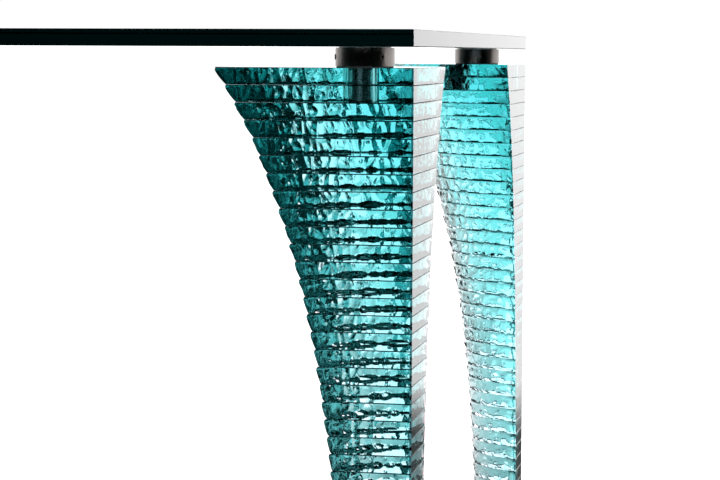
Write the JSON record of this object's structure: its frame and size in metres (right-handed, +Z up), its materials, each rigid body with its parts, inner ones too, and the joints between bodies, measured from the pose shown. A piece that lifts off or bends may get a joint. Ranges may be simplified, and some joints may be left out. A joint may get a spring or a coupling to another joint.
{
  "type": "glass dining table",
  "caption": "Dining table with a thick clear glass top on tapering corner legs, each a stack of chipped glass slabs, and a steel spacer between leg and top.",
  "frame": {"origin": "on the floor, at the centre of the rectangle that the table covers", "axes": "+X along the table's length, +Z up from the floor to the top"},
  "size_m": [2, 1, 0.728],
  "materials": {
    "top_glass": "polished, with ground arrises",
    "slab_glass": "two polished sides, one chipped side",
    "brushed_steel": "brushed along the axis",
    "turned_steel": "turned, blackened",
    "screw_steel": "satin",
    "nylon": "matt, black",
    "clear_bond": "clear, cured",
    "gasket_rubber": "matt",
    "pad_rubber": "matt"
  },
  "bodies": {
    "root": {"tabletop": "top_glass", "bond_films": "clear_bond", "top_discs": "turned_steel", "collars": "brushed_steel", "grub_screws": "screw_steel", "leg_anchors": "turned_steel", "centring_rings": "nylon", "seat_gaskets": "gasket_rubber", "foot_pads": "pad_rubber", "slab_01": "slab_glass", "slab_02": "slab_glass", "slab_03": "slab_glass", "slab_04": "slab_glass", "slab_05": "slab_glass", "slab_06": "slab_glass", "slab_07": "slab_glass", "slab_08": "slab_glass", "slab_09": "slab_glass", "slab_10": "slab_glass", "slab_11": "slab_glass", "slab_12": "slab_glass", "slab_13": "slab_glass", "slab_14": "slab_glass", "slab_15": "slab_glass", "slab_16": "slab_glass", "slab_17": "slab_glass", "slab_18": "slab_glass", "slab_19": "slab_glass", "slab_20": "slab_glass", "slab_21": "slab_glass", "slab_22": "slab_glass", "slab_23": "slab_glass", "slab_24": "slab_glass", "slab_25": "slab_glass", "slab_26": "slab_glass", "slab_27": "slab_glass", "slab_28": "slab_glass", "slab_29": "slab_glass", "slab_30": "slab_glass", "slab_31": "slab_glass", "slab_32": "slab_glass", "slab_33": "slab_glass", "slab_34": "slab_glass", "slab_35": "slab_glass", "slab_36": "slab_glass"}
  },
  "joints": []
}
